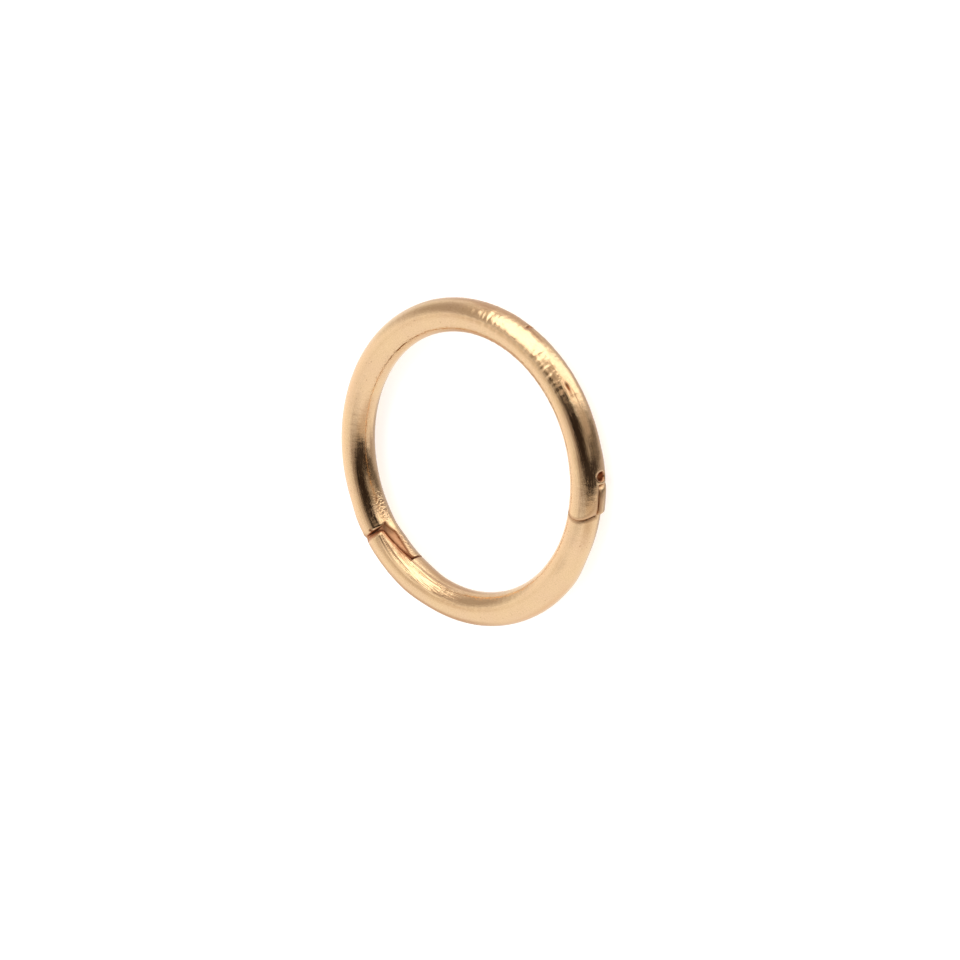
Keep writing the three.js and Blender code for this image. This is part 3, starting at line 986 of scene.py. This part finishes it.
# %% Paint the sky
TENT = 1.12
FOLDS = 5.0
FOLD_DEG = 14.0
PANELS = [("dim corner", 121, 29, 44, 70, 24, 0.0, (0.54, 0.49, 0.45)),
          ("back shade", 165, 57, 30, 20, 12, 0.0, (0.88, 0.81, 0.73)),
          ("back wall", 172, -8, 34, 64, 24, 0.0, (1.30, 1.24, 1.20)),
          ("left floor", -128, -26, 46, 36, 24, 0.0, (1.03, 0.94, 0.86)),
          ("back floor", -160, -18, 32, 42, 18, 0.0, (0.74, 0.60, 0.50)),
          ("low side", 102, -46, 76, 44, 22, 0.0, (0.70, 0.61, 0.58)),
          ("left shade", -48, 34, 34, 90, 30, 0.0, (0.74, 0.65, 0.56)),
          ("open top", 0, 92, 2000, 44, 30, 0.0, (0.34, 0.29, 0.26)),
          ("front top", 0, 74, 130, 34, 26, 0.0, (0.12, 0.10, 0.09)),
          ("low front", 0, -84, 2000, 46, 18, 0.0, (0.64, 0.60, 0.60)),
          ("window frame", 66, 34, 80, 88, 16, 0.1, (0.62, 0.54, 0.48)),
          ("dark top", 40, 86, 130, 32, 8, 0.0, (0.07, 0.06, 0.05)),
          ("window top", 78, 38, 48, 44, 12, 0.2, (2.3, 2.3, 2.25)),
          ("window", 65, 8, 44, 46, 10, 0.3, (2.3, 2.3, 2.25)),
          ("low card", 34, -24, 34, 66, 10, -0.1, (1.9, 1.9, 1.85)),
          ("left low", -38, -50, 30, 34, 16, 0.0, (0.50, 0.45, 0.44)),
          ("front low", -6, -44, 32, 60, 18, 0.0, (0.21, 0.185, 0.175)),
          ("front grey", 2, 0, 28, 60, 14, 0.0, (0.54, 0.475, 0.42)),
          ("near card", 24, 14, 16, 44, 8, 0.0, (1.8, 1.74, 1.62)),
          ("front shade", -18, -16, 25, 60, 10, 0.0, (0.15, 0.13, 0.115)),
          ("front dark", -8, 34, 36, 24, 12, 0.0, (0.20, 0.17, 0.14)),
          ("black cloth", -8, 61, 84, 56, 12, 0.0, (0.035, 0.025, 0.02)),
          ("dark stand", -27, 22, 27, 78, 10, -0.14, (0.05, 0.04, 0.035))]


def tent_sky():
    world = bpy.data.worlds.new("light tent")
    world.use_nodes = True
    tree = world.node_tree
    sky = place(tree, "ShaderNodeTexCoord")
    looking = place(tree, "ShaderNodeSeparateXYZ", {0: sky.outputs["Generated"]}).outputs
    front = calc(tree, "MULTIPLY", looking["Y"], -1.0)
    compass = calc(tree, "DEGREES", calc(tree, "ARCTAN2", looking["X"], front))
    height = calc(tree, "DEGREES", calc(tree, "ARCSINE", looking["Z"]))
    folds = place(tree, "ShaderNodeTexNoise",
                  {"Vector": sky.outputs["Generated"], "Scale": FOLDS, "Detail": 2.0})
    fold = place(tree, "ShaderNodeSeparateColor", {"Color": folds.outputs["Color"]}).outputs
    compass = calc(tree, "MULTIPLY_ADD", calc(tree, "SUBTRACT", fold[0], 0.5), FOLD_DEG, compass)
    height = calc(tree, "MULTIPLY_ADD", calc(tree, "SUBTRACT", fold[1], 0.5), FOLD_DEG, height)
    facing = place(tree, "ShaderNodeCombineXYZ", {"X": compass, "Y": height}).outputs[0]
    color = (TENT, TENT, TENT)
    for name, *numbers, brightness in PANELS:
        middle, size, (softness, lean) = numbers[0:2], numbers[2:4], numbers[4:]
        color = blend_color(tree, patch(tree, facing, middle, size, softness, lean), color, brightness)
    for_camera = place(tree, "ShaderNodeLightPath").outputs["Is Camera Ray"]
    color = blend_color(tree, for_camera, color, (1.0, 1.0, 1.0))
    tree.links.new(color, tree.nodes["Background"].inputs["Color"])
    return world


scene.world = tent_sky()
print("panels in the tent:", [panel[0] for panel in PANELS])

# %% [markdown]
# ## Floor
# The ring lies on a sheet of white acrylic lit from below, the usual way to keep the ground under jewellery
# white and its shadows pale. A little emission stands for that light. The sheet is hidden from reflections:
# so near, it would turn the whole lower half of the wire white, where a ring held up in the tent mirrors the
# tent's darker parts. It lies as low as the proudest stretch of the wire reaches.

# %% Lay the floor
FLOOR_HALF = 3.0
FLOOR_DROP = 0.05 * MM
FLOOR_WHITE = 0.92
FLOOR_GLOW = 0.62
FLOOR_ROUGH = 0.55
FLOOR_GLOSS = 0.25
floor_mesh = bpy.data.meshes.new("floor")
corners = [(x * FLOOR_HALF, y * FLOOR_HALF, -FLOOR_DROP) for x, y in ((-1, -1), (1, -1), (1, 1), (-1, 1))]
floor_mesh.from_pydata(corners, [], [(0, 1, 2, 3)])
floor = bpy.data.objects.new("floor", floor_mesh)
scene.collection.objects.link(floor)
acrylic = bpy.data.materials.new("white acrylic")
acrylic.use_nodes = True
sheet = acrylic.node_tree.nodes["Principled BSDF"].inputs
sheet["Base Color"].default_value = (FLOOR_WHITE, FLOOR_WHITE, FLOOR_WHITE, 1)
sheet["Roughness"].default_value = FLOOR_ROUGH
sheet["Specular IOR Level"].default_value = FLOOR_GLOSS
sheet["Emission Color"].default_value = (1, 1, 1, 1)
sheet["Emission Strength"].default_value = FLOOR_GLOW
floor_mesh.materials.append(acrylic)
floor.visible_glossy = False
print(f"floor: {2 * FLOOR_HALF:.0f} m wide, {FLOOR_DROP / MM:.2f} mm below the solid model")
